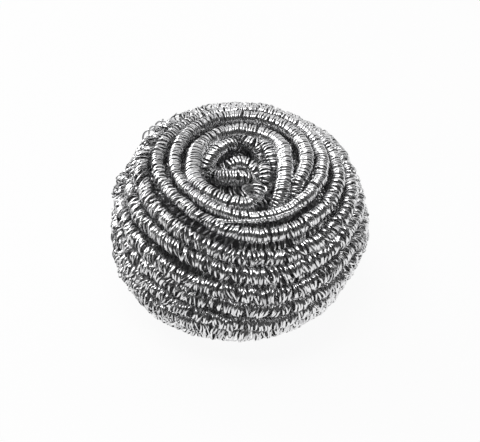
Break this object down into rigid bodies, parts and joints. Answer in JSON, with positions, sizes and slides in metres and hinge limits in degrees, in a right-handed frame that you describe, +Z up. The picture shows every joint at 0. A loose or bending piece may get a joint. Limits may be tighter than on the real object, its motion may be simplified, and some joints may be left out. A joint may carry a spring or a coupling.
{
  "type": "spiral scourer",
  "caption": "Bun-shaped stainless steel scourer: a flat ribbon sprung into a long coil and wound turn on turn, with a shallow hollow and an open coil end in its crown.",
  "frame": {"origin": "on the table, under the middle of the bun's bounding box", "axes": "+Z up through the crown; -Y is the front, where each turn steps down to the next"},
  "size_m": [0.0894, 0.0892, 0.0572],
  "materials": {
    "steel_ribbon": "bright rolled ribbon"
  },
  "bodies": {
    "root": {"wound_coil": "steel_ribbon"}
  },
  "joints": []
}
